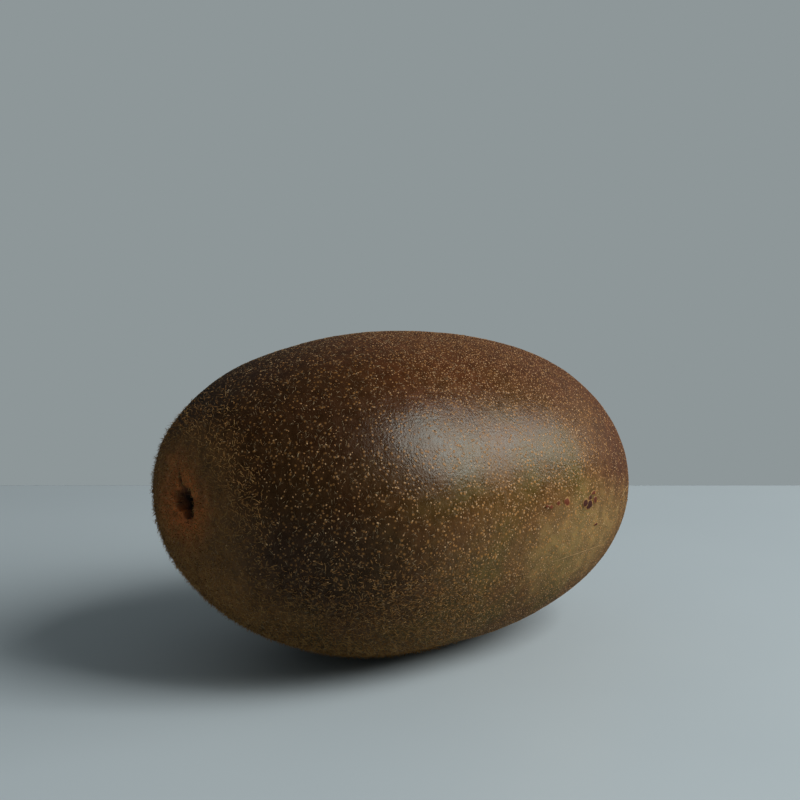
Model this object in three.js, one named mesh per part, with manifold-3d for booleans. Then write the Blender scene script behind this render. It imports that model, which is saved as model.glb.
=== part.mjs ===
// A whole kiwi fruit lying on its side. It grew as one piece, so it is one solid.
// Millimetres, +Z up. The long axis runs along X with the stalk end at -X, and the
// origin lies on the table under the middle of the fruit.

import * as THREE from "three";
import { mergeVertices } from "three/addons/utils/BufferGeometryUtils.js";
import Module from "manifold-3d";

// The fruit as a whole
const LENGTH = 72; // from one end of the axis to the other
const WIDTH = 50; // the broad way, which lies along the table
const HEIGHT = 44.5; // the flatter way, which stands up from the table
const STALK_SHARE = 0.45; // part of the length on the stalk side of the thickest section
const STALK_LIFT = THREE.MathUtils.degToRad(2.25); // slope of the axis, stalk end up

// Fullness of each end: 2 gives an ellipse, more gives a blunter end
const STALK_END = { along: 2.23, across: 2.2 };
const BLOSSOM_END = { along: 2.29, across: 2.13 };

// The stalk end leans a little off the straight axis, more the nearer it comes to the tip
const STALK_LEAN = { y: 1.3, z: 1.6, power: 3 };

// Three broad lobes round the girth, as the fruit is never quite an oval
const LOBES = { count: 3, height: 0.22, turn: 0.9 };

// The scar where the stalk broke away: a hole in a shallow basin, inside a swollen shoulder
const SCAR = { radius: 1.9, depth: 2.2, wall: 0.9 };
const BASIN = { radius: 4.6, depth: 1.1 };
const SHOULDER = { radius: 9.5, spread: 4.2, height: 0.55 };

// The dry nub that the flower leaves at the other end, with a shallow ring round it
const NUB = { radius: 2.1, height: 0.7, wall: 1.3 };
const NUB_RING = { radius: 4.4, spread: 1.8, depth: 0.3 };

// The weight of the soft fruit presses a small flat spot on its underside
const FLAT_DEPTH = 0.3;

// Facets: rings along the axis, crowded towards both ends, and segments round it
const RINGS = 64;
const SEGMENTS = 64;
const END_CROWDING = 0.8;
const WELD = 1e-3; // vertices closer than this are one vertex

const STALK_HALF = LENGTH * STALK_SHARE;
const BLOSSOM_HALF = LENGTH - STALK_HALF;
const GIRTH_RADIUS = HEIGHT / 2;

// A step from 1 to 0 as a distance grows past a radius, over the width of a wall.
function inside(distance, radius, wall) {
  return 1 - THREE.MathUtils.smoothstep(distance, radius - wall, radius + wall);
}

// A bump of height 1 in a ring at some distance from the axis.
function ring(distance, { radius, spread }) {
  return Math.exp(-(((distance - radius) / spread) ** 2));
}

// How far the surface of the stalk end lies out from the plain end, by distance from the axis.
function stalkRelief(distance) {
  const basin = BASIN.depth * Math.exp(-((distance / BASIN.radius) ** 2));
  const scar = SCAR.depth * inside(distance, SCAR.radius, SCAR.wall);
  return SHOULDER.height * ring(distance, SHOULDER) - basin - scar;
}

// The same for the blossom end.
function blossomRelief(distance) {
  const nub = NUB.height * inside(distance, NUB.radius, NUB.wall);
  return nub - NUB_RING.depth * ring(distance, NUB_RING);
}

// The fruit's half outline, from the stalk scar to the blossom nub, for turning about Y.
function outline() {
  const points = [];
  for (let i = 0; i <= RINGS; i++) {
    const share = i / RINGS;
    const crowded = share - (END_CROWDING * Math.sin(2 * Math.PI * share)) / (2 * Math.PI);
    const angle = Math.PI * crowded;
    const onStalkSide = crowded < 0.5;
    const end = onStalkSide ? STALK_END : BLOSSOM_END;
    const along = Math.abs(Math.cos(angle)) ** (2 / end.along);
    const onAxis = i === 0 || i === RINGS;
    const radius = onAxis ? 0 : GIRTH_RADIUS * Math.sin(angle) ** (2 / end.across);
    const axial = onStalkSide
      ? -STALK_HALF * along - stalkRelief(radius)
      : BLOSSOM_HALF * along + blossomRelief(radius);
    points.push(new THREE.Vector2(radius, axial));
  }
  return points;
}

// Turns the round, straight body into the oval, lobed and leaning one.
function shapeBody(geometry) {
  const position = geometry.getAttribute("position");
  const point = new THREE.Vector3();
  for (let i = 0; i < position.count; i++) {
    point.fromBufferAttribute(position, i);
    const girth = Math.hypot(point.y, point.z) / GIRTH_RADIUS;
    const around = Math.atan2(point.z, point.y);
    const lobe = (LOBES.height / GIRTH_RADIUS) * Math.cos(LOBES.count * around + LOBES.turn);
    const swell = 1 + lobe * girth;
    const lean = Math.max(0, -point.x / STALK_HALF) ** STALK_LEAN.power;
    point.y = point.y * swell * (WIDTH / HEIGHT) + STALK_LEAN.y * lean;
    point.z = point.z * swell + STALK_LEAN.z * lean;
    position.setXYZ(i, point.x, point.y, point.z);
  }
  return geometry;
}

// A closed geometry as a solid that can be cut.
function solidOf(wasm, geometry) {
  const bare = new THREE.BufferGeometry();
  bare.setAttribute("position", geometry.getAttribute("position"));
  bare.setIndex(geometry.getIndex());
  const merged = mergeVertices(bare, WELD);
  const vertProperties = merged.getAttribute("position").array;
  const triVerts = new Uint32Array(merged.getIndex().array);
  return new wasm.Manifold(new wasm.Mesh({ numProp: 3, vertProperties, triVerts }));
}

// A solid as a geometry again.
function geometryOf(solid) {
  const mesh = solid.getMesh();
  const geometry = new THREE.BufferGeometry();
  geometry.setAttribute("position", new THREE.BufferAttribute(mesh.vertProperties, 3));
  geometry.setIndex(new THREE.BufferAttribute(mesh.triVerts, 1));
  return geometry;
}

// Cuts the small flat spot on the underside.
function cutFlatSpot(wasm, geometry) {
  geometry.computeBoundingBox();
  const table = new THREE.BoxGeometry(LENGTH, WIDTH, HEIGHT);
  table.translate(0, 0, geometry.boundingBox.min.z + FLAT_DEPTH - HEIGHT / 2);
  return geometryOf(solidOf(wasm, geometry).subtract(solidOf(wasm, table)));
}

// Stands the fruit on the table with the origin under its middle.
function standOnTable(geometry) {
  geometry.computeBoundingBox();
  const middle = geometry.boundingBox.getCenter(new THREE.Vector3());
  return geometry.translate(-middle.x, -middle.y, -geometry.boundingBox.min.z);
}

const wasm = await Module();
wasm.setup();

const turned = new THREE.LatheGeometry(outline(), SEGMENTS).rotateZ(-Math.PI / 2);
const lying = shapeBody(turned).rotateY(STALK_LIFT);
const fruitGeometry = standOnTable(cutFlatSpot(wasm, lying));
fruitGeometry.computeVertexNormals();

const skin = new THREE.MeshStandardMaterial({ color: 0x5a3f22, roughness: 0.55, metalness: 0 });
const fruit = new THREE.Mesh(fruitGeometry, skin);
fruit.name = "kiwi_fruit";

const kiwi = new THREE.Group();
kiwi.add(fruit);

export default kiwi;
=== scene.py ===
"""A whole kiwi fruit: skin, hairs, stalk scar, dried styles, scabs and scratches, in a studio."""

import logging
import math
from collections.abc import Callable
from dataclasses import dataclass, field
from enum import Enum

import bmesh
import bpy
import numpy as np
from mathutils import Matrix, Vector, kdtree, noise
from mathutils.bvhtree import BVHTree


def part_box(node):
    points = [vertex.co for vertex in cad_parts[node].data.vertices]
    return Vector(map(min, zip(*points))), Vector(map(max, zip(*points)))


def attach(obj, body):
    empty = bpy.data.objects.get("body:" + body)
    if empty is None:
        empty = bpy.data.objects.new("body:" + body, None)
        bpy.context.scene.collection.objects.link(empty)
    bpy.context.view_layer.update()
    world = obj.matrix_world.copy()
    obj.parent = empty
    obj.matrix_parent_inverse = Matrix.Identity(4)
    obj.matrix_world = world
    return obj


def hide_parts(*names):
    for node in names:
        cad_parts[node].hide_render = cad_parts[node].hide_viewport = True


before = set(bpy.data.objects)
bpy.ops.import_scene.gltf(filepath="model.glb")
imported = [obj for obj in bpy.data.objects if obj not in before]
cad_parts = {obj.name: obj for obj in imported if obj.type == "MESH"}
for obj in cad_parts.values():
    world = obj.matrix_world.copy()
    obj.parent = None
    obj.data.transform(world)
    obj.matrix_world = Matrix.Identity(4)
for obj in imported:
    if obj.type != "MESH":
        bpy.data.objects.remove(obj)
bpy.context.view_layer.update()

LOG = logging.getLogger("kiwi")
MM = 0.001  # metres in a millimetre
BODY = "root"
NODE = "kiwi_fruit"
TINY = 1e-6  # the least length that a direction is divided by

Array = np.ndarray
Pair = tuple[float, float]
Triple = tuple[float, float, float]
Socket = bpy.types.NodeSocket


class Slot(Enum):
    """The record's material slots."""

    SKIN = "skin"
    HAIR = "hair"
    SCAR = "scar"


class Quarter(Enum):
    """The quarters of the fruit that a coat of hair is split into: whether X and Y are above 0."""

    STALK_FRONT = (False, False)
    STALK_BACK = (False, True)
    BLOSSOM_FRONT = (True, False)
    BLOSSOM_BACK = (True, True)


def linear(hex_code: str) -> tuple[float, float, float, float]:
    """Turns an sRGB colour into linear light.

    Args:
        hex_code: the colour as #rrggbb.

    Returns:
        Red, green, blue and an alpha of 1.
    """
    shades = [int(hex_code[i : i + 2], 16) / 255 for i in (1, 3, 5)]
    light = [s / 12.92 if s <= 0.04045 else ((s + 0.055) / 1.055) ** 2.4 for s in shades]
    return light[0], light[1], light[2], 1.0


@dataclass
class Web:
    """The nodes of one material, or of the room's light, as they are added and linked."""

    tree: bpy.types.NodeTree

    @classmethod
    def of_material(cls, name: str) -> tuple[bpy.types.Material, "Web"]:
        """Makes an empty node material.

        Args:
            name: the material's name.

        Returns:
            The material and its web.
        """
        material = bpy.data.materials.new(name)
        material.use_nodes = True
        material.node_tree.nodes.clear()
        return material, cls(material.node_tree)

    def add(self, kind: str, inputs: dict[int | str, object], **settings: object) -> bpy.types.Node:
        """Adds a node with its settings and links.

        Args:
            kind: Blender's name for this type of node.
            inputs: what each input takes, by name or number: an output to link, or a plain value.
            settings: the node's own properties.

        Returns:
            The new node.
        """
        node = self.tree.nodes.new(kind)
        for name, value in settings.items():
            setattr(node, name, value)
        for key, value in inputs.items():
            if isinstance(value, Socket):
                self.tree.links.new(value, node.inputs[key])
            else:
                node.inputs[key].default_value = value
        return node

    def stored(self, name: str) -> Socket:
        """Reads a number that is stored on the mesh."""
        return self.add("ShaderNodeAttribute", {}, attribute_name=name).outputs["Fac"]

    def place(self, unit: Triple = (1.0, 1.0, 1.0)) -> Socket:
        """Reads the place on the object, in units of so many millimetres along each axis."""
        inputs = {"Vector": self.add("ShaderNodeTexCoord", {}).outputs["Object"]}
        inputs["Scale"] = tuple(1 / (size * MM) for size in unit)
        return self.add("ShaderNodeMapping", inputs).outputs[0]

    def clouds(self, place: Socket, size: float, detail: float) -> Socket:
        """Adds noise from 0 to 1, in clouds of one size with finer detail."""
        inputs = {"Vector": place, "Scale": 1 / size, "Detail": detail}
        return self.add("ShaderNodeTexNoise", inputs).outputs[0]

    def calculate(self, operation: str, *values: object) -> Socket:
        """Works out one number from others, by Blender's name for the sum."""
        return self.add("ShaderNodeMath", dict(enumerate(values)), operation=operation).outputs[0]

    def remap(
        self,
        value: Socket,
        source: Pair = (0.0, 1.0),
        target: Pair = (0.0, 1.0),
        smooth: bool = False,
    ) -> Socket:
        """Carries a value over from one range to another.

        Args:
            value: the value's socket.
            source: the range that it comes from.
            target: the range that it goes to.
            smooth: whether it eases in and out.

        Returns:
            The new value's socket.
        """
        limits = dict(zip(("From Min", "From Max", "To Min", "To Max"), source + target))
        kind = "SMOOTHSTEP" if smooth else "LINEAR"
        inputs = {"Value": value, **limits}
        return self.add("ShaderNodeMapRange", inputs, interpolation_type=kind).outputs[0]

    def blend(self, share: object, first: object, second: object, how: str = "MIX") -> Socket:
        """Lays a share of the second colour over the first, by Blender's name for the way."""
        inputs = {0: share, 6: first, 7: second}
        return self.add("ShaderNodeMix", inputs, data_type="RGBA", blend_type=how).outputs[2]

    def bump(self, strength: float, relief_mm: float, height: Socket, **under: Socket) -> Socket:
        """Adds fine relief, on the normal under it if one is given as Normal."""
        inputs = {"Strength": strength, "Distance": relief_mm * MM, "Height": height, **under}
        return self.add("ShaderNodeBump", inputs).outputs[0]

    def dimmed(self, mirrored: float) -> Socket:
        """Gives 1, or a smaller share to what the fruit's own shine mirrors."""
        glossy = self.add("ShaderNodeLightPath", {}).outputs["Is Glossy Ray"]
        return self.remap(glossy, target=(1.0, mirrored))

    def finish(self, inputs: dict[int | str, object]) -> None:
        """Ends a material with its shader, which takes these inputs."""
        shader = self.add("ShaderNodeBsdfPrincipled", inputs)
        self.add("ShaderNodeOutputMaterial", {0: shader.outputs[0]})


def step(value: Array, start: float, end: float) -> Array:
    """Rises smoothly from 0 at start to 1 at end."""
    share = np.clip((value - start) / (end - start), 0.0, 1.0)
    return share * share * (3.0 - 2.0 * share)


@dataclass(frozen=True)
class Ridge:
    """A rounded ring of relief about an axis. Millimetres."""

    radius: float
    spread: float
    height: float = 1.0

    def shape(self, distance: Array) -> Array:
        """1 along the ring, falling to 0 on both sides of it."""
        return np.exp(-(((distance - self.radius) / self.spread) ** 2))


@dataclass(frozen=True)
class Lumps:
    """Smooth noise in lumps of one size. The shift makes two patterns differ. Millimetres."""

    size: float
    shift: float
    height: float = 1.0

    def shape(self, points: Array) -> Array:
        """Values between about -1 and 1."""
        return np.array([noise.noise(Vector(p)) for p in points / self.size + self.shift])


def show(name: str, data: bpy.types.ID) -> bpy.types.Object:
    """Puts a mesh, a light or a camera into the scene.

    Args:
        name: the new object's name.
        data: what it shows.

    Returns:
        The new object.
    """
    made = bpy.data.objects.new(name, data)
    bpy.context.scene.collection.objects.link(made)
    return made


def add_piece(
    name: str, mesh: bpy.types.Mesh, material: bpy.types.Material
) -> bpy.types.Object:
    """Puts a finished mesh into the scene as a piece of the fruit.

    Args:
        name: the piece's name.
        mesh: its mesh, already in place.
        material: its finish.

    Returns:
        The new object, which rides on the fruit's body.
    """
    mesh.materials.append(material)
    mesh.shade_smooth()
    piece = show(name, mesh)
    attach(piece, BODY)
    LOG.info("%s: %d faces", name, len(mesh.polygons))
    return piece


def rod(sides: int, tip: float, cuts: int) -> bmesh.types.BMesh:
    """Models a straight rod, one long and one thick.

    Args:
        sides: how many it has.
        tip: its thickness at the far end.
        cuts: how many times it is divided along its length.

    Returns:
        The rod, which stands on the origin.
    """
    shape = bmesh.new()
    middle = Matrix.Translation((0, 0, 0.5))
    bmesh.ops.create_cone(
        shape, cap_ends=True, segments=sides, radius1=0.5, radius2=0.5 * tip, depth=1.0, matrix=middle
    )
    if cuts:
        long_edges = [e for e in shape.edges if abs(e.verts[0].co.z - e.verts[1].co.z) > 0.5]
        bmesh.ops.subdivide_edges(shape, edges=long_edges, cuts=cuts)
    return shape


def mesh_of(name: str, shape: bmesh.types.BMesh) -> bpy.types.Mesh:
    """Turns a modelled shape into a mesh, and frees it.

    Args:
        name: the mesh's name.
        shape: the shape.

    Returns:
        The mesh.
    """
    mesh = bpy.data.meshes.new(name)
    shape.to_mesh(mesh)
    shape.free()
    return mesh


def read(mesh: bpy.types.Mesh, name: str) -> Array:
    """Reads each vertex's place or normal.

    Args:
        mesh: the mesh.
        name: co or normal.

    Returns:
        One row for each vertex.
    """
    values = np.empty(len(mesh.vertices) * 3)
    mesh.vertices.foreach_get(name, values)
    return values.reshape(-1, 3)


def parts_of(shape: bmesh.types.BMesh) -> tuple[Array, list[list[int]]]:
    """Reads a modelled shape's vertices and faces, and frees it.

    Args:
        shape: the shape.

    Returns:
        Its vertices, and its faces by vertex number.
    """
    shape.verts.index_update()
    vertices = np.array([v.co for v in shape.verts])
    faces = [[v.index for v in f.verts] for f in shape.faces]
    shape.free()
    return vertices, faces


def toward(turn: float, rise: float) -> Vector:
    """Gives a direction by its turn from the front of the fruit and its rise, in degrees."""
    turn, rise = math.radians(turn), math.radians(rise)
    return Vector((math.sin(turn) * math.cos(rise), -math.cos(turn) * math.cos(rise), math.sin(rise)))


def keep_values(mesh: bpy.types.Mesh, name: str, values: Array) -> None:
    """Stores one number for each vertex, for a material to read."""
    mesh.attributes.new(name, "FLOAT", "POINT").data.foreach_set("value", values.astype(np.float32))


@dataclass(frozen=True)
class KiwiPeel:
    """Kiwi peel: a tight dry skin of cork cells over green flesh, grown and then rubbed in handling.

    To the eye it is a satin olive brown, tan where it is worn, rusty round the stalk, with a fine
    grain and small corky pores. Its colour also holds painted shade: a red-brown darkened on the top
    and the blossom end, dark umber over the stalk half, and near black in the stalk's hole and crease;
    and painted light, in the velvety stalk end's brightened tint.
    """

    name: str = "kiwi_peel"
    olive: str = "#5a4719"
    brown: str = "#62411a"
    # painted shade: a dark umber laid over the stalk half, the fruit's shaded side
    painted_shade: str = "#331d0d"
    # red-brown, partly a real tint and partly painted shade, darkened on the top and the blossom end
    blush_and_shade: str = "#502910"
    tan: str = "#957a46"
    rust: str = "#be682c"
    # the velvety stalk end's tint, brightened as painted light
    velvet_and_painted_light: str = "#8c6234"
    # near black: painted shade in the stalk's hole and crease, and the dried top of the nub
    scar: str = "#150c09"
    pore: str = "#a8763a"
    ior: float = 1.39
    shine: str = "#f4fffa"  # the tint of its reflections
    smooth: float = 0.22
    rough: float = 0.34
    mottle_mm: float = 7.0
    mottle_noise: Pair = (0.35, 0.65)  # where olive starts and ends turning brown
    freckle_mm: float = 1.3
    freckle_noise: Pair = (0.3, 0.7)  # the noise's usual range
    freckle_shade: Pair = (0.72, 1.25)  # the skin's brightness at its ends
    pore_mm: float = 0.66  # spacing of the corky pores
    pore_radius_mm: float = 0.21
    pore_fade: float = 0.6  # how much fainter a pore is under the painted shade and the darkened red-brown
    pore_rough: float = 0.15  # how much rougher a pore is
    pore_bump: Pair = (0.6, 0.04)  # strength, and height in millimetres
    velvet_rough: float = 0.5  # how much rougher the velvety end is
    edge_rough: float = 0.45  # the same where the skin is seen edge on, past its stubs
    edge_facing: Pair = (0.4, 0.85)  # where edge on starts and ends
    grain_mm: Triple = (0.26, 0.26, 0.4)
    grain_bump: Pair = (0.65, 0.07)

    def build(self) -> bpy.types.Material:
        """Makes the material.

        Returns:
            The finished material, which reads the masks stored on the skin's mesh.
        """
        material, web = Web.of_material(self.name)
        in_mm = web.place()
        mottle = web.clouds(in_mm, self.mottle_mm, detail=5.0)
        browned = web.calculate("ADD", mottle, web.stored("ripe"))
        patches = web.remap(browned, self.mottle_noise, smooth=True)
        colour = web.blend(patches, linear(self.olive), linear(self.brown))
        # Lays the stored tints over the skin in turn: besides real tints, these paint shade on the
        # stalk half, the top and the blossom end, and paint light on the stalk end.
        masks = {name: web.stored(name) for name in ("blush_and_shade", "painted_shade", "velvet_and_painted_light", "worn", "rust")}
        tints = (self.blush_and_shade, self.painted_shade, self.velvet_and_painted_light, self.tan, self.rust)
        for mask, tint in zip(masks.values(), tints):
            colour = web.blend(mask, colour, linear(tint))
        freckle = web.clouds(in_mm, self.freckle_mm, detail=3.0)
        shade = web.remap(freckle, self.freckle_noise, self.freckle_shade)
        colour = web.blend(1.0, colour, shade, how="MULTIPLY")

        cells = web.add("ShaderNodeTexVoronoi", {"Vector": in_mm, "Scale": 1 / self.pore_mm})
        pore_edge = self.pore_radius_mm / self.pore_mm
        pore = web.remap(cells.outputs["Distance"], (pore_edge, pore_edge / 2), smooth=True)
        uneven = web.remap(cells.outputs["Color"], (0.2, 0.6), (0.6, 1.0))
        # Pores are fainter under the painted shade.
        shaded_tints = web.calculate("MAXIMUM", masks["painted_shade"], masks["blush_and_shade"])
        faint = web.remap(shaded_tints, target=(1.0, 1.0 - self.pore_fade))
        strength = web.calculate("MULTIPLY", uneven, faint)
        colour = web.blend(web.calculate("MULTIPLY", pore, strength), colour, linear(self.pore))
        # Near black in the stalk's hole and crease as painted shade, and on the nub's dried top.
        colour = web.blend(web.stored("scar"), colour, linear(self.scar))

        roughness = web.remap(freckle, self.freckle_noise, (self.smooth, self.rough))
        facing = web.add("ShaderNodeLayerWeight", {}).outputs["Facing"]
        edge = web.remap(facing, self.edge_facing, smooth=True)
        amounts = (self.pore_rough, self.velvet_rough, self.edge_rough)
        for amount, where in zip(amounts, (pore, masks["velvet_and_painted_light"], edge)):
            roughness = web.calculate("MULTIPLY_ADD", where, amount, roughness)

        grain = web.clouds(web.place(self.grain_mm), 1.0, detail=2.0)
        normal = web.bump(*self.grain_bump, grain)
        normal = web.bump(*self.pore_bump, pore, Normal=normal)
        web.finish(
            {
                "Base Color": colour,
                "Roughness": roughness,
                "Normal": normal,
                "IOR": self.ior,
                "Specular Tint": linear(self.shine),
            }
        )
        return material


@dataclass(frozen=True)
class DryHair:
    """A dry plant hair: a dead, hollow cell wall that scatters light, tan to straw in colour.

    To the eye each one is a small pale stroke, rustier at its root, and no two are quite alike.
    """

    name: str
    root: str
    tip: str
    pale: str
    roughness: float = 0.6
    ior: float = 1.5

    def build(self) -> bpy.types.Material:
        """Makes the material.

        Returns:
            The finished material, which reads each hair's length share and tone.
        """
        material, web = Web.of_material(self.name)
        colour = web.blend(web.stored("along"), linear(self.root), linear(self.tip))
        colour = web.blend(web.stored("tone"), colour, linear(self.pale))
        web.finish({"Base Color": colour, "Roughness": self.roughness, "IOR": self.ior})
        return material


@dataclass(frozen=True)
class DriedScab:
    """A dried scab: sap that hardened over a nick, dark brown or red with a pale cracked rim."""

    name: str = "dried_scab"
    dark: str = "#3b1a10"
    red: str = "#6c3317"
    rim: str = "#96703f"
    crack_mm: float = 0.35
    crack_share: float = 0.5  # how far cracks reach in from the rim
    crack_bump: Pair = (0.5, 0.08)  # strength, and height in millimetres
    roughness: float = 0.65
    ior: float = 1.3

    def build(self) -> bpy.types.Material:
        """Makes the material.

        Returns:
            The finished material, which reads how near the rim each point lies.
        """
        material, web = Web.of_material(self.name)
        cracks = web.clouds(web.place(), self.crack_mm, detail=3.0)
        ragged = web.calculate("MULTIPLY_ADD", cracks, self.crack_share, web.stored("along"))
        rim = web.remap(ragged, (0.98, 1.2), smooth=True)
        middle = web.blend(web.stored("tone"), linear(self.dark), linear(self.red))
        web.finish(
            {
                "Base Color": web.blend(rim, middle, linear(self.rim)),
                "Roughness": self.roughness,
                "IOR": self.ior,
                "Normal": web.bump(*self.crack_bump, cracks),
            }
        )
        return material


@dataclass(frozen=True)
class PalePaint:
    """Matt pale paint on the studio floor, rolled on, so it has a faint cloudiness."""

    name: str = "pale_matt_paint"
    light: str = "#c6d4da"
    dark: str = "#bccad1"
    cloud_mm: float = 60.0
    roughness: float = 0.4
    mirrored: float = 1.0  # how bright it is in the fruit's own shine

    def build(self) -> bpy.types.Material:
        """Makes the material."""
        material, web = Web.of_material(self.name)
        cloud = web.clouds(web.place(), self.cloud_mm, detail=4.0)
        colour = web.blend(cloud, linear(self.light), linear(self.dark))
        colour = web.blend(1.0, colour, web.dimmed(self.mirrored), how="MULTIPLY")
        web.finish({"Base Color": colour, "Roughness": self.roughness})
        return material


@dataclass(frozen=True)
class Tints:
    """Where the skin takes on each tint, in millimetres, and how strong the tint is there; some tints
    paint shade or light.
    """

    cloud: Lumps = Lumps(6.0, 21.0)  # what makes the edges uneven
    fine: Lumps = Lumps(1.6, 5.0)
    # The red-brown: a real tint that also paints shade, on the top reaching left and at the blossom
    # end.
    blush_and_shade: float = 0.85
    top_height: Pair = (26.0, 40.0)
    top_start: Pair = (-40.0, -12.0)
    end_start: Pair = (12.0, 24.0)
    end_height: Pair = (17.0, 25.0)
    ripe: float = 0.4
    ripe_start: Pair = (8.0, 24.0)
    # Painted shade: dark umber over the stalk half, weaker low down.
    painted_shade: float = 0.9
    painted_shade_start: Pair = (2.0, 26.0)  # counted towards the stalk
    painted_shade_fade: float = 0.4  # how much weaker it is low down
    painted_shade_low: Pair = (-16.0, -6.0)  # counted downwards, as is the next
    # The velvety stalk end: a real tint brightened as painted light, reaching further low down.
    velvet_low: Pair = (-22.0, -8.0)
    velvet_drop: float = 6.0  # how much further it reaches low down
    velvet_edge: Pair = (5.0, 13.5)  # distance from the stalk's axis
    velvet_and_painted_light: float = 0.8
    worn: float = 0.62
    worn_middle: Triple = (14.0, -22.5, 16.5)
    worn_reach: Triple = (16.0, 11.0, 9.5)
    worn_edge: Pair = (0.25, 1.1)  # as a share of its reach
    rust: float = 0.9
    rust_edge: Pair = (2.6, 8.0)
    nub_rust: float = 0.45
    nub_edge: Pair = (1.4, 4.0)
    # Near black: painted shade in the stalk's hole and crease, and the nub's dried top.
    nub_scar: float = 0.7
    hole_edge: Pair = (-0.2, 1.2)  # counted from the hole's radius
    crease: float = 0.9


@dataclass
class Fruit:
    """The fruit's body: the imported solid's form, with the fine relief of a real skin. Millimetres."""

    length: float = 72.0
    width: float = 50.0
    height: float = 44.5
    stalk_share: float = 0.45
    stalk_lift: float = math.radians(2.25)
    stalk_end: Pair = (2.23, 2.2)  # fullness along and across: 2 gives an ellipse, more a blunter end
    blossom_end: Pair = (2.29, 2.13)
    lean: Pair = (1.3, 1.6)
    lean_power: float = 3.0
    lobes: int = 3
    lobe_height: float = 0.22
    lobe_turn: float = 0.9

    scar_radius: float = 1.5
    scar_depth: float = 2.2
    scar_wall: float = 0.8
    scar_waves: tuple[tuple[float, int, float], ...] = (  # size, count round the hole and turn
        (0.1, 2, 0.6),
        (0.1, 3, 2.0),
        (0.06, 7, 0.0),
    )
    basin_radius: float = 4.6
    basin_depth: float = 1.1
    shoulder: Ridge = Ridge(9.5, 4.2, 0.55)
    lip: Ridge = Ridge(2.4, 0.45, 0.06)
    fold_count: int = 11
    fold_height: float = 0.04
    fold_sway: float = 2.0
    outer_folds: Ridge = Ridge(4.2, 1.4, 0.5)  # as high as this share of the folds
    crease_turn: float = math.radians(58)
    crease_reach: float = 4.8
    crease_depth: float = 0.3
    crease_width: float = 0.34
    crease_bend: float = 0.05
    crease_start: Pair = (1.0, 1.8)
    crease_taper: float = 1.6

    nub_radius: float = 2.1
    nub_height: float = 0.7
    nub_wall: float = 1.3
    nub_ring: Ridge = Ridge(4.4, 1.8, 0.3)
    puckers: Ridge = Ridge(3.0, 1.1, 0.6)  # as high as this share of the folds
    flat_depth: float = 0.3

    swell: Lumps = Lumps(14.0, 3.7, 0.2)
    dimple: Lumps = Lumps(3.2, 11.2, 0.045)

    tints: Tints = Tints()

    segments: int = 280
    rings: int = 352
    weld: float = 1e-5  # vertices of the unit ball closer than this are one
    crowding: float = 0.5  # how much closer together the rings lie towards both ends
    piece: bpy.types.Object = field(init=False)
    stalk: Array = field(init=False)
    blossom: Array = field(init=False)

    def plain_form(self, share: Array, around: Array) -> tuple[Array, Array, Array]:
        """Works out points of the skin before they are set on the table.

        Args:
            share: place along the outline, 0 at the stalk and 1 at the blossom.
            around: angle round the axis.

        Returns:
            The points, their distances from the axis, and 1 for those on the stalk side.
        """
        crowded = share - self.crowding * np.sin(2 * np.pi * share) / (2 * np.pi)
        on_stalk_side = crowded < 0.5
        ends = zip(self.stalk_end, self.blossom_end)
        along_power, across_power = (np.where(on_stalk_side, 2 / a, 2 / b) for a, b in ends)
        along = np.abs(np.cos(np.pi * crowded)) ** along_power
        girth = np.clip(np.sin(np.pi * crowded), 0.0, 1.0) ** across_power
        radius = girth * self.height / 2
        stalk_half = self.length * self.stalk_share
        x = np.where(
            on_stalk_side,
            -stalk_half * along - self.stalk_relief(radius, around),
            (self.length - stalk_half) * along + self.blossom_relief(radius, around),
        )
        lobe = self.lobe_height / (self.height / 2) * np.cos(self.lobes * around + self.lobe_turn)
        swollen = radius * (1 + lobe * girth)
        lean = np.clip(-x / stalk_half, 0.0, None) ** self.lean_power
        y = swollen * np.cos(around) * self.width / self.height + self.lean[0] * lean
        z = swollen * np.sin(around) + self.lean[1] * lean
        lift_cos, lift_sin = math.cos(self.stalk_lift), math.sin(self.stalk_lift)
        points = np.stack([x * lift_cos + z * lift_sin, y, z * lift_cos - x * lift_sin], axis=1)
        return points, radius, on_stalk_side.astype(float)

    def scar_edge(self, around: Array) -> Array:
        """How far the ragged hole's edge lies out at each angle, as a share of its radius."""
        waves = [size * np.sin(count * around + turn) for size, count, turn in self.scar_waves]
        return np.sum([np.ones_like(around), *waves], axis=0)

    def crease(self, radius: Array, around: Array) -> Array:
        """Works out the crease that runs out from the hole, a groove that is also painted dark as
        shade.

        Args:
            radius: distance from the axis.
            around: angle round the axis.

        Returns:
            1 in the crease's middle, 0 away from it.
        """
        off_line = radius * np.sin(around - self.crease_turn - self.crease_bend * radius)
        ahead = np.cos(around - self.crease_turn) > 0
        ended = step(radius, self.crease_reach - self.crease_taper, self.crease_reach)
        reach = step(radius, *self.crease_start) * (1 - ended)
        return np.exp(-((off_line / self.crease_width) ** 2)) * reach * ahead

    def stalk_relief(self, radius: Array, around: Array) -> Array:
        """How far the stalk end stands out from its plain form.

        Args:
            radius: distance from the axis.
            around: angle round the axis.

        Returns:
            The height, below 0 in the basin and the hole.
        """
        edge = radius / self.scar_edge(around)
        hole = 1 - step(edge, self.scar_radius - self.scar_wall, self.scar_radius + self.scar_wall)
        sway = self.fold_sway * np.sin(2 * around)
        folds = self.fold_height * np.cos(self.fold_count * around + sway)
        return (
            self.shoulder.height * self.shoulder.shape(radius)
            - self.basin_depth * np.exp(-((radius / self.basin_radius) ** 2))
            - self.scar_depth * hole
            + (self.lip.height + folds) * self.lip.shape(edge)
            + self.outer_folds.height * folds * self.outer_folds.shape(radius)
            - self.crease_depth * self.crease(radius, around)
        )

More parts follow.
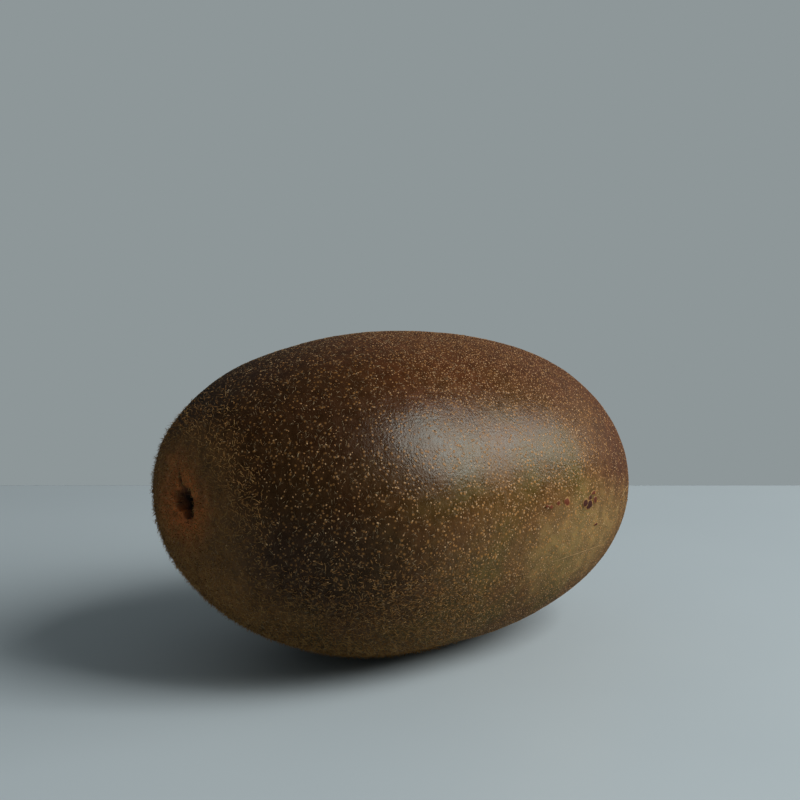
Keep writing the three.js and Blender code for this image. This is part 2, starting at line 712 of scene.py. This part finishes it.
    def blossom_relief(self, radius: Array, around: Array) -> Array:
        """Does the same for the blossom end: a nub in a shallow ring, with radiating puckers.

        Args:
            radius: distance from the axis.
            around: angle round the axis.

        Returns:
            The height, below 0 in the ring.
        """
        nub = 1 - step(radius, self.nub_radius - self.nub_wall, self.nub_radius + self.nub_wall)
        folds = self.fold_height * np.cos(2 * self.fold_count * around) * self.puckers.shape(radius)
        dip = self.nub_ring.height * self.nub_ring.shape(radius)
        return self.nub_height * nub + self.puckers.height * folds - dip

    def build(self) -> None:
        """Models the skin from a sheet rolled into a ball, and dresses it."""
        shell = bmesh.new()
        bmesh.ops.create_grid(shell, x_segments=self.segments, y_segments=self.rings, size=0.5)
        for vertex in shell.verts:
            turn = 2 * math.pi * (vertex.co.x + 0.5)
            fall = math.pi * (vertex.co.y + 0.5)
            level = math.sin(fall)
            vertex.co = (level * math.cos(turn), level * math.sin(turn), -math.cos(fall))
        bmesh.ops.remove_doubles(shell, verts=shell.verts, dist=self.weld)
        mesh = mesh_of("kiwi_skin", shell)

        ball = read(mesh, "co")
        share = np.arccos(np.clip(-ball[:, 2], -1.0, 1.0)) / np.pi
        around = np.arctan2(ball[:, 1], ball[:, 0])
        points, radius, on_stalk_side = self.plain_form(share, around)
        points = self.set_on_table(points)
        mesh.vertices.foreach_set("co", (points * MM).ravel())
        mesh.update()
        normals = read(mesh, "normal")
        swell, dimple = (each.height * each.shape(points) for each in (self.swell, self.dimple))
        points = points + normals * (swell + dimple)[:, None]
        points[:, 2] = np.maximum(points[:, 2], 0.0)
        mesh.vertices.foreach_set("co", (points * MM).ravel())
        mesh.update()

        self.stalk, self.blossom = points[np.argmin(share)], points[np.argmax(share)]
        self.store_masks(mesh, points, radius, around, on_stalk_side)
        self.piece = add_piece("kiwi_skin", mesh, KiwiPeel().build())
        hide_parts(NODE)

    def set_on_table(self, points: Array) -> Array:
        """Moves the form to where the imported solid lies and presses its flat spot.

        Args:
            points: the plain form.

        Returns:
            The points in place, none below the table.
        """
        low, high = (np.array(corner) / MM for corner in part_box(NODE))
        middle = (points.min(axis=0) + points.max(axis=0)) / 2
        move = (low + high) / 2 - middle
        move[2] = -points[:, 2].min() - self.flat_depth
        placed = points + move
        placed[:, 2] = np.maximum(placed[:, 2], 0.0)
        return placed

    def store_masks(
        self,
        mesh: bpy.types.Mesh,
        points: Array,
        radius: Array,
        around: Array,
        on_stalk_side: Array,
    ) -> None:
        """Stores how much of each tint the skin takes on, from 0 to 1; some of these tints paint shade
        or light.

        Args:
            mesh: the skin's mesh.
            points: its vertices in millimetres.
            radius: their distances from the axis.
            around: their angles round it.
            on_stalk_side: 1 for those on the stalk side.
        """
        tints = self.tints
        cloud, fine = tints.cloud.shape(points), tints.fine.shape(points)
        x, z = points[:, 0], points[:, 2]
        # The red-brown, partly painted shade: on the top reaching left, and at the blossom end high up.
        top = step(z + 4 * cloud, *tints.top_height) * step(x, *tints.top_start)
        end = step(x + 2 * cloud, *tints.end_start) * step(z + 2 * cloud, *tints.end_height)
        keep_values(mesh, "blush_and_shade", tints.blush_and_shade * np.maximum(top, end))
        keep_values(mesh, "ripe", tints.ripe * step(x, *tints.ripe_start))
        # Painted shade: dark umber over the stalk half, weaker low down.
        faded = 1 - tints.painted_shade_fade * step(-z - 2 * cloud, *tints.painted_shade_low)
        keep_values(mesh, "painted_shade", tints.painted_shade * (step(-x - 3 * cloud, *tints.painted_shade_start) * faded))
        # The velvety stalk end's tint, brightened as painted light, reaches further low down.
        lower = tints.velvet_drop * step(-z, *tints.velvet_low)
        velvet_and_painted_light = on_stalk_side * (1 - step(radius - lower + 2 * cloud + fine, *tints.velvet_edge))
        keep_values(mesh, "velvet_and_painted_light", tints.velvet_and_painted_light * velvet_and_painted_light)
        from_worn = np.linalg.norm((points - tints.worn_middle) / tints.worn_reach, axis=1)
        worn = 1 - step(from_worn + 0.16 * cloud + 0.22 * fine, *tints.worn_edge)
        keep_values(mesh, "worn", tints.worn * worn)
        rust = on_stalk_side * (1 - step(radius + 1.2 * cloud + 0.6 * fine, *tints.rust_edge))
        nub = (1 - on_stalk_side) * (1 - step(radius + 0.4 * fine, *tints.nub_edge))
        keep_values(mesh, "rust", np.clip(tints.rust * rust + tints.nub_rust * nub, 0, 1))
        # Near black as painted shade in the stalk's hole and crease, and on the nub's dried top.
        edge = radius / self.scar_edge(around)
        hole = 1 - step(edge + 0.5 * fine, *(self.scar_radius + past for past in tints.hole_edge))
        torn = np.maximum(hole, tints.crease * self.crease(radius, around)) * on_stalk_side
        nub_top = nub * (radius < self.nub_radius)
        keep_values(mesh, "scar", np.clip(torn + tints.nub_scar * nub_top, 0, 1))


@dataclass
class Roots:
    """Where hairs grow: one row each, in millimetres."""

    points: Array
    normals: Array

    def pick(self, chosen: Array) -> "Roots":
        """Keeps only the chosen roots."""
        return Roots(self.points[chosen], self.normals[chosen])


@dataclass
class Surface:
    """The finished skin as a surface that other pieces grow from."""

    skin: bpy.types.Object
    surplus: float = 2.0  # roots drawn for each one wanted, as some find no room
    corners: Array = field(init=False)
    normals: Array = field(init=False)
    areas: Array = field(init=False)
    tree: BVHTree = field(init=False)

    def __post_init__(self) -> None:
        """Reads the skin's triangles."""
        mesh = self.skin.data
        mesh.calc_loop_triangles()
        places = read(mesh, "co")
        indices = np.empty(len(mesh.loop_triangles) * 3, dtype=np.int32)
        mesh.loop_triangles.foreach_get("vertices", indices)
        indices = indices.reshape(-1, 3)
        self.corners = places[indices] / MM
        self.normals = read(mesh, "normal")[indices]
        sides = self.corners[:, 1:] - self.corners[:, :1]
        self.areas = np.linalg.norm(np.cross(sides[:, 0], sides[:, 1]), axis=1) / 2
        self.tree = BVHTree.FromPolygons(places.tolist(), indices.tolist())

    def scatter(
        self,
        count: int,
        spacing: float,
        weight: Callable[[Array], Array],
        rng: np.random.Generator,
    ) -> Roots:
        """Spreads roots over the skin, none closer together than the spacing.

        Args:
            count: how many to try for.
            spacing: the least distance between two, in millimetres.
            weight: how thick the growth is at each point.
            rng: the seeded random draw.

        Returns:
            The roots that found room.
        """
        likely = self.areas * weight(self.corners.mean(axis=1))
        drawn = round(count * self.surplus)
        chosen = rng.choice(len(likely), size=drawn, p=likely / likely.sum())
        parts = rng.dirichlet((1.0, 1.0, 1.0), size=drawn)[:, :, None]
        points, normals = ((each[chosen] * parts).sum(axis=1) for each in (self.corners, self.normals))
        roots = Roots(points, normals)
        finder = kdtree.KDTree(drawn)
        for index, point in enumerate(roots.points):
            finder.insert(point, index)
        finder.balance()
        free = np.ones(drawn, dtype=bool)
        for index, point in enumerate(roots.points):
            if free[index]:
                near = [other for _, other, _ in finder.find_range(point, spacing)]
                free[near] = False
                free[index] = True
        return roots.pick(np.flatnonzero(free)[:count])

    def nearest(self, place: Triple) -> tuple[Array, Array]:
        """Finds the skin's nearest point to a place in millimetres, and the normal there."""
        point, normal, _, _ = self.tree.find_nearest(Vector(place) * MM)
        return np.array(point) / MM, np.array(normal)


@dataclass
class Coat:
    """One kind of hair over the fruit. Millimetres and degrees."""

    name: str
    finish: DryHair
    count: int
    length: Pair
    thickness: Pair
    rise: Pair  # angle off the skin at the root
    droop: Pair  # how far it bends back down by its tip
    curl: float  # how far it may turn sideways by its tip
    weight: Callable[[Array], Array]  # how thick it grows at each point
    seed: int
    spacing: float = 0.2
    flow: float = 0.0  # main direction, from round the girth towards the blossom
    stray: float = 180.0  # spread of directions
    sides: int = 3
    cuts: int = 2
    tip: float = 0.3  # thickness at the tip as a share of that at the root
    stretch: Pair = (1.0, 1.0)  # how much longer than wide its section is
    sink: float = 0.05
    variants: int = 24  # ways of bending
    bend_steps: int = 24
    thin_bias: float = 1.5  # above 1 for more thin hairs than thick ones
    dark_bias: float = 2.0  # above 1 for more dark hairs than pale ones
    lowest: float = 0.01  # least height above the table
    largest: int = 5000  # hairs in a coat that stays one piece
    slot: Slot = Slot.HAIR

    def bent(self, straight: Array, rng: np.random.Generator) -> tuple[Array, Array]:
        """Bends the straight hair in several ways.

        Args:
            straight: the hair's vertices.
            rng: the seeded random draw.

        Returns:
            For each way of bending, the hair's path for a length of 1, and its wall's offset from
            that path for a thickness of 1. Axes: sideways, forward, out of the skin.
        """
        rise = np.radians(rng.uniform(*self.rise, self.variants))[:, None]
        droop = np.radians(rng.uniform(*self.droop, self.variants))[:, None]
        curl = np.radians(rng.uniform(-self.curl, self.curl, self.variants))[:, None]
        steps = self.bend_steps
        share = (np.arange(steps) + 0.5) / steps
        up = rise - droop * share
        side = curl * share
        heading = np.stack([np.cos(up) * np.sin(side), np.cos(up) * np.cos(side), np.sin(up)], axis=-1)
        root = np.zeros((self.variants, 1, 3))
        reached = np.concatenate([root, np.cumsum(heading, axis=1) / steps], axis=1)
        height = straight[:, 2]
        path = reached[:, np.clip(np.round(height * steps).astype(int), 0, steps)]
        way = heading[:, np.clip((height * steps).astype(int), 0, steps - 1)]
        across = np.cross(way, (0.0, 0.0, 1.0))
        across /= np.maximum(np.linalg.norm(across, axis=-1, keepdims=True), TINY)
        over = np.cross(across, way) * rng.uniform(*self.stretch, self.variants)[:, None, None]
        wall = across * straight[None, :, :1] + over * straight[None, :, 1:2]
        return path, wall

    def build(self, surface: Surface) -> None:
        """Grows the coat and adds it.

        Args:
            surface: the skin that it grows on.
        """
        rng = np.random.default_rng(self.seed)
        roots = surface.scatter(self.count, self.spacing, self.weight, rng)
        material = self.finish.build()
        straight, faces = parts_of(rod(self.sides, self.tip, self.cuts))
        path, wall = self.bent(straight, rng)
        for name, chosen in self.split(roots):
            points, tone = self.grow(roots.pick(chosen), path, wall, rng)
            mesh = copies(name, points * MM, faces)
            keep_values(mesh, "tone", np.repeat(tone, len(straight)))
            keep_values(mesh, "along", np.tile(straight[:, 2], len(points)))
            add_piece(name, mesh, material)

    def split(self, roots: Roots) -> list[tuple[str, Array]]:
        """Shares a large coat out between the quarters, so that no piece is too heavy.

        Args:
            roots: where its hairs grow.

        Returns:
            The name of each piece and which roots belong to it.
        """
        if self.count < self.largest:
            return [(self.name, np.ones(len(roots.points), dtype=bool))]
        beyond = roots.points[:, :2] >= 0
        shares = [(f"{self.name}_{q.name.lower()}", (beyond == q.value).all(axis=1)) for q in Quarter]
        return [(name, chosen) for name, chosen in shares if chosen.any()]

    def grow(
        self, roots: Roots, path: Array, wall: Array, rng: np.random.Generator
    ) -> tuple[Array, Array]:
        """Sets one bent hair on each root.

        Args:
            roots: where the hairs grow.
            path: the ways they bend.
            wall: the offsets of their walls.
            rng: the seeded random draw.

        Returns:
            The vertices of each hair in millimetres, and its tone from 0 to 1.
        """
        count = len(roots.points)
        axis = np.array([1.0, 0.0, 0.0])
        girth = np.cross(roots.normals, axis)
        girth /= np.maximum(np.linalg.norm(girth, axis=1, keepdims=True), TINY)
        along = np.cross(girth, roots.normals)
        turn = np.radians(rng.normal(self.flow, self.stray, count))[:, None]
        forward = girth * np.cos(turn) + along * np.sin(turn)
        sideways = np.cross(forward, roots.normals)
        grid = np.stack([sideways, forward, roots.normals], axis=1)
        length = rng.uniform(*self.length, count)[:, None, None]
        thin, thick = self.thickness
        thickness = (thin + (thick - thin) * rng.random(count) ** self.thin_bias)[:, None, None]
        kind = rng.integers(self.variants, size=count)
        local = path[kind] * length + wall[kind] * thickness
        start = roots.points - roots.normals * self.sink
        points = start[:, None, :] + local @ grid
        points[:, :, 2] = np.maximum(points[:, :, 2], self.lowest)
        return points, rng.random(count) ** self.dark_bias


def copies(name: str, points: Array, faces: list[list[int]]) -> bpy.types.Mesh:
    """Joins many copies of one modelled shape into a mesh.

    Args:
        name: the mesh's name.
        points: the vertices of each copy, in metres.
        faces: the faces of one copy, by vertex number.

    Returns:
        The mesh.
    """
    count, size, _ = points.shape
    shift = np.arange(count) * size
    loops = np.concatenate(faces)
    starts = np.concatenate([[0], np.cumsum([len(f) for f in faces])[:-1]])
    mesh = bpy.data.meshes.new(name)
    mesh.vertices.add(count * size)
    mesh.vertices.foreach_set("co", points.ravel())
    mesh.loops.add(count * len(loops))
    mesh.loops.foreach_set("vertex_index", (shift[:, None] + loops).ravel().astype(np.int32))
    mesh.polygons.add(count * len(faces))
    all_starts = np.arange(count)[:, None] * len(loops) + starts
    mesh.polygons.foreach_set("loop_start", all_starts.ravel().astype(np.int32))
    mesh.update(calc_edges=True)
    mesh.validate()
    return mesh


@dataclass(frozen=True)
class Pane:
    """One pane of the soft window light: its direction in degrees, its size and its power in watts."""

    turn: float  # from the camera's side of the fruit round to the right
    rise: float
    size: Pair
    power: float


@dataclass
class Studio:
    """Plain floor, soft window light and camera. Millimetres and degrees."""

    azimuth: float = -36.87
    elevation: float = 13.0
    distance: float = 214.1
    view_angle: float = 30.0
    middle: Triple = (0.0, 0.0, 22.2)
    frame_width: float = 800.0
    middle_pixel: Pair = (409.5, 483.7)  # where the fruit's middle shows

    panes: tuple[Pane, ...] = (
        Pane(turn=72.5, rise=40.0, size=(310.0, 420.0), power=3.4),
        Pane(turn=99.0, rise=24.0, size=(300.0, 300.0), power=1.12),
    )
    pane_distance: float = 650.0
    daylight: str = "#fffdfa"
    room_dark: str = "#606261"
    room_pale: str = "#868c8f"
    backdrop: str = "#8e9799"  # the tone of the room that the camera sees
    mirrored: float = 0.22  # how bright room and floor are in the fruit's own shine

    floor_behind: float = 100.0  # floor behind the fruit's middle, as the camera sees it
    floor_reach: float = 1500.0
    floor_thickness: float = 40.0
    floor_edge: float = 6.0  # radius of its far edge

    def build(self) -> None:
        """Sets up the floor, the lights and the camera."""
        self.add_camera()
        self.add_floor()
        self.add_window()
        self.add_room()
        bpy.context.scene.view_settings.view_transform = "Standard"

    def add_camera(self) -> None:
        """Aims the camera so that the fruit's middle shows at its pixel."""
        data = bpy.data.cameras.new("camera")
        data.angle = math.radians(self.view_angle)
        data.clip_start = 10 * MM
        camera = show("camera", data)
        back = toward(self.azimuth, self.elevation)
        focal = self.frame_width / 2 / math.tan(data.angle / 2)
        right, down = (p - self.frame_width / 2 for p in self.middle_pixel)
        pan = Matrix.Rotation(math.atan2(right, focal), 4, "Y")
        tilt = Matrix.Rotation(math.atan2(down, math.hypot(focal, right)), 4, "X")
        aim = (-back).to_track_quat("-Z", "Y").to_matrix().to_4x4()
        place = Matrix.Translation((Vector(self.middle) + back * self.distance) * MM)
        camera.matrix_world = place @ aim @ pan @ tilt
        bpy.context.scene.camera = camera

    def add_floor(self) -> None:
        """Adds a wide floor slab whose far edge runs behind the fruit."""
        slab = bmesh.new()
        bmesh.ops.create_cube(slab, size=1.0)
        size = (2 * self.floor_reach, self.floor_reach + self.floor_behind, self.floor_thickness)
        bmesh.ops.scale(slab, vec=size, verts=slab.verts)
        middle = (0.0, (self.floor_behind - self.floor_reach) / 2, -self.floor_thickness / 2)
        bmesh.ops.translate(slab, vec=middle, verts=slab.verts)
        far = [e for e in slab.edges if all(v.co.y > 0 and v.co.z > -1 for v in e.verts)]
        round_off = {"segments": 6, "profile": 0.5, "material": -1}
        bmesh.ops.bevel(slab, geom=far, offset=self.floor_edge, affect="EDGES", **round_off)
        turn = Matrix.Rotation(math.radians(self.azimuth), 3, "Z")
        bmesh.ops.rotate(slab, cent=(0, 0, 0), matrix=turn, verts=slab.verts)
        bmesh.ops.scale(slab, vec=(MM, MM, MM), verts=slab.verts)
        mesh = mesh_of("floor", slab)
        mesh.materials.append(PalePaint(mirrored=self.mirrored).build())
        floor = show("floor", mesh)

    def add_window(self) -> None:
        """Adds the large soft window on the right, pane by pane."""
        for number, pane in enumerate(self.panes):
            way = toward(self.azimuth + pane.turn, pane.rise)
            data = bpy.data.lights.new(f"pane_{number}", "AREA")
            data.shape = "RECTANGLE"
            data.size, data.size_y = (side * MM for side in pane.size)
            data.energy = pane.power
            data.color = linear(self.daylight)[:3]
            light = show(data.name, data)
            light.location = (Vector(self.middle) + way * self.pane_distance) * MM
            light.rotation_mode = "QUATERNION"
            light.rotation_quaternion = (-way).to_track_quat("-Z", "Y")

    def add_room(self) -> None:
        """Gives the room its dim light: pale behind the fruit, darker towards the camera."""
        world = bpy.data.worlds.new("room")
        world.use_nodes = True
        world.node_tree.nodes.clear()
        web = Web(world.node_tree)
        away = -toward(self.azimuth, 0.0)
        direction = web.add("ShaderNodeTexCoord", {}).outputs["Generated"]
        facing = web.add("ShaderNodeVectorMath", {0: direction, 1: away}, operation="DOT_PRODUCT")
        behind = web.remap(facing.outputs["Value"], (-0.1, 0.9), smooth=True)
        shade = web.blend(behind, linear(self.room_dark), linear(self.room_pale))
        camera_ray = web.add("ShaderNodeLightPath", {}).outputs["Is Camera Ray"]
        seen = web.blend(camera_ray, shade, linear(self.backdrop))
        inputs = {"Color": seen, "Strength": web.dimmed(self.mirrored)}
        light = web.add("ShaderNodeBackground", inputs)
        web.add("ShaderNodeOutputWorld", {0: light.outputs[0]})
        bpy.context.scene.world = world


@dataclass(frozen=True)
class Zones:
    """How thick each kind of hair grows over the fruit. Millimetres."""

    stalk: Array
    blossom: Array
    far: float = 100.0  # added to the distance from the other half's end
    hole_edge: Pair = (2.0, 3.6)
    nub_edge: Pair = (1.6, 3.0)
    table_edge: Pair = (0.15, 1.0)
    torn_rim: Ridge = Ridge(1.7, 0.5)
    nub_top: Pair = (1.2, 2.0)

    def distance(self, points: Array, end: Array) -> Array:
        """Distance from the axis at one end of the fruit, and far for points on the other half."""
        return np.hypot(*(points - end)[:, 1:].T) + self.far * (points[:, 0] * end[0] < 0)

    def open_skin(self, points: Array) -> Array:
        """0 in the stalk's hole, on the nub and where the fruit touches the table, 1 elsewhere."""
        off_stalk = step(self.distance(points, self.stalk), *self.hole_edge)
        off_blossom = step(self.distance(points, self.blossom), *self.nub_edge)
        return off_stalk * off_blossom * step(points[:, 2], *self.table_edge)

    def stubs(self, points: Array) -> Array:
        """Stubs are fewer towards the stalk and on the worn blossom end."""
        off_stalk = 1 - 0.9 * step(-points[:, 0], -4.0, 18.0)
        off_blossom = 1 - 0.8 * step(points[:, 0], 6.0, 26.0)
        return self.open_skin(points) * off_stalk * off_blossom

    def bristles(self, points: Array) -> Array:
        """Whole bristles are left mainly on the stalk half, short of its end."""
        x = points[:, 0]
        kept = 0.02 + 0.98 * step(-x, -6.0, 10.0) * (1 - 0.6 * step(-x, 28.0, 35.0))
        return self.open_skin(points) * kept

    def down(self, points: Array) -> Array:
        """Fine down grows round the stalk and under the stalk half."""
        off_top = 1 - 0.7 * step(points[:, 2], 26.0, 34.0)
        near = (1 - step(self.distance(points, self.stalk), 4.0, 16.0)) * off_top
        low = 0.5 * step(-points[:, 2], -22.0, -6.0) * step(-points[:, 0], 0.0, 20.0)
        return self.open_skin(points) * (near + low)

    def scar_rim(self, points: Array) -> Array:
        """Torn fibres stand only on the rim of the stalk's hole."""
        return self.torn_rim.shape(self.distance(points, self.stalk))

    def nub(self, points: Array) -> Array:
        """Dried styles stand only on the nub."""
        return 1.0 - step(self.distance(points, self.blossom), *self.nub_top)


@dataclass(frozen=True)
class Scab:
    """One scab: the place that it lies nearest to, its widths and its height. Millimetres."""

    place: Triple
    along: float
    across: float
    red: float = 0.0  # 0 for dark brown, 1 for red
    height: float = 0.24


@dataclass
class Scabs:
    """The small dried scabs near the blossom end."""

    spots: tuple[Scab, ...] = (
        Scab((12.2, -23.36, 22.1), 1.5, 1.2, 0.1),
        Scab((13.2, -23.08, 21.85), 1.5, 1.1),
        Scab((12.8, -23.09, 21.5), 1.2, 0.8),
        Scab((13.33, -23.2, 22.66), 0.9, 0.9, 0.1),
        Scab((14.67, -22.92, 22.17), 1.0, 0.95, 0.5),
        Scab((14.4, -23.1, 23.2), 1.3, 0.55, 0.7),
        Scab((8.1, -24.1, 23.0), 1.4, 1.4, 0.9),
        Scab((6.4, -24.4, 23.2), 0.75, 0.7, 0.8),
        Scab((5.0, -24.5, 22.9), 0.8, 0.5, 1.0),
        Scab((4.2, -24.5, 23.1), 0.6, 0.4, 1.0),
        Scab((15.0, -22.4, 18.6), 1.1, 0.4, 0.3),
    )
    raggedness: float = 0.45
    tooth: float = 0.45  # width of one ragged lump, as a share of the scab's width
    finish: DriedScab = DriedScab()

    def build(self, surface: Surface) -> None:
        """Models each scab from a ball, flattens it and sets it half into the skin.

        Args:
            surface: the skin that they lie on.
        """
        crust = bmesh.new()
        bmesh.ops.create_icosphere(crust, subdivisions=3, radius=0.5)
        ball, faces = parts_of(crust)
        shapes = []
        for number, spot in enumerate(self.spots):
            point, out = surface.nearest(spot.place)
            along = np.cross((0.0, 0.0, 1.0), out)
            along /= np.linalg.norm(along)
            up = np.cross(out, along)
            ragged = 1 + self.raggedness * Lumps(self.tooth, 7.3 * number).shape(ball)
            local = ball * ragged[:, None] * (spot.along, spot.across, spot.height)
            shapes.append(point + local @ np.stack([along, up, out]))
        mesh = copies("scabs", np.array(shapes) * MM, faces)
        rim = 2 * np.hypot(ball[:, 0], ball[:, 1])
        keep_values(mesh, "along", np.tile(rim, len(self.spots)))
        keep_values(mesh, "tone", np.repeat([spot.red for spot in self.spots], len(ball)))
        add_piece("scabs", mesh, self.finish.build())


@dataclass
class Scratch:
    """A healed scratch: a thin pale ridge along the skin. Millimetres."""

    name: str
    start: Triple
    end: Triple
    bow: float  # how far its middle lies above the straight line
    thickness: float = 0.11
    slimmest: float = 0.2  # its thickness at both ends, as a share of that in its middle
    sides: int = 6
    cuts: int = 40
    waves: float = 40.0  # how often it turns paler and darker
    finish: DryHair = DryHair("healed_cork", "#8f6f3e", "#8a6a3a", "#a3824f")

    def build(self, surface: Surface) -> None:
        """Models the ridge from a thin rod, laid along the skin.

        Args:
            surface: the skin that it lies on.
        """
        ridge = rod(self.sides, 1.0, self.cuts)
        start, end = np.array(self.start), np.array(self.end)
        share = np.array([v.co.z for v in ridge.verts])
        for vertex, part in zip(ridge.verts, share):
            lift = (0.0, 0.0, 4 * self.bow * part * (1 - part))
            point, out = surface.nearest(tuple(start + (end - start) * part + lift))
            side = np.cross(out, end - start)
            side /= np.linalg.norm(side)
            slim = self.thickness * max(math.sqrt(4 * part * (1 - part)), self.slimmest)
            vertex.co = Vector((point + (side * vertex.co.x + out * 0.5 * vertex.co.y) * slim) * MM)
        bmesh.ops.recalc_face_normals(ridge, faces=ridge.faces)
        mesh = mesh_of(self.name, ridge)
        keep_values(mesh, "along", share)
        keep_values(mesh, "tone", 0.5 + 0.5 * np.sin(self.waves * share))
        add_piece(self.name, mesh, self.finish.build())


def coats(zones: Zones) -> list[Coat]:
    """Lists the fruit's coats of hair.

    Args:
        zones: how thick each grows.

    Returns:
        The coats, from the skin outwards.
    """
    stubs = Coat(
        name="stubs",
        finish=DryHair("corky_stub", "#82552f", "#9d7042", "#c09c70", roughness=0.4, ior=1.36),
        count=24000, spacing=0.26, length=(0.06, 0.08), thickness=(0.13, 0.36),
        rise=(82, 90), droop=(0, 5), curl=10, flow=20, stray=90,
        weight=zones.stubs, seed=11, sides=5, cuts=0, tip=0.5, stretch=(1.0, 1.6),
    )
    bristles = Coat(
        name="bristles",
        finish=DryHair("dry_bristle", "#573f22", "#806642", "#b49d76"),
        count=24000, length=(0.3, 0.75), thickness=(0.1, 0.16),
        rise=(2, 12), droop=(5, 30), curl=80, flow=20, stray=40,
        weight=zones.bristles, seed=12, cuts=1,
    )
    down = Coat(
        name="down",
        finish=DryHair("plant_down", "#744c24", "#a0733e", "#be985f", roughness=0.8, ior=1.3),
        count=20000, length=(0.4, 0.9), thickness=(0.06, 0.105),
        rise=(20, 65), droop=(10, 60), curl=50, stray=90,
        weight=zones.down, seed=13, cuts=1,
    )
    fibres = Coat(
        name="scar_fibres",
        finish=DryHair("torn_fibre", "#1d0f08", "#3f2512", "#5f3c1e", roughness=0.8),
        count=70, spacing=0.12, length=(0.3, 0.7), thickness=(0.09, 0.16),
        rise=(20, 80), droop=(0, 60), curl=60,
        weight=zones.scar_rim, seed=14, slot=Slot.SCAR,
    )
    styles = Coat(
        name="dried_styles",
        finish=DryHair("dried_style", "#2e1c10", "#4d3420", "#6b4c2e"),
        count=46, length=(1.0, 2.4), thickness=(0.16, 0.26),
        rise=(45, 85), droop=(20, 120), curl=90,
        weight=zones.nub, seed=15, cuts=7, slot=Slot.SCAR,
    )
    return [stubs, bristles, down, fibres, styles]


def main() -> None:
    """Builds the fruit and its studio."""
    logging.basicConfig(level=logging.INFO, format="%(name)s %(message)s")
    Studio().build()
    fruit = Fruit()
    fruit.build()
    surface = Surface(fruit.piece)
    for coat in coats(Zones(fruit.stalk, fruit.blossom)):
        coat.build(surface)
    Scabs().build(surface)
    for scratch in (
        Scratch("long_scratch", (6.1, -23.5, 14.9), (20.0, -19.5, 14.3), 0.6),
        Scratch("edge_scratch", (27.8, -16.0, 21.0), (23.2, -19.2, 20.4), 0.45, thickness=0.18),
    ):
        scratch.build(surface)


if __name__ == "__main__":
    main()
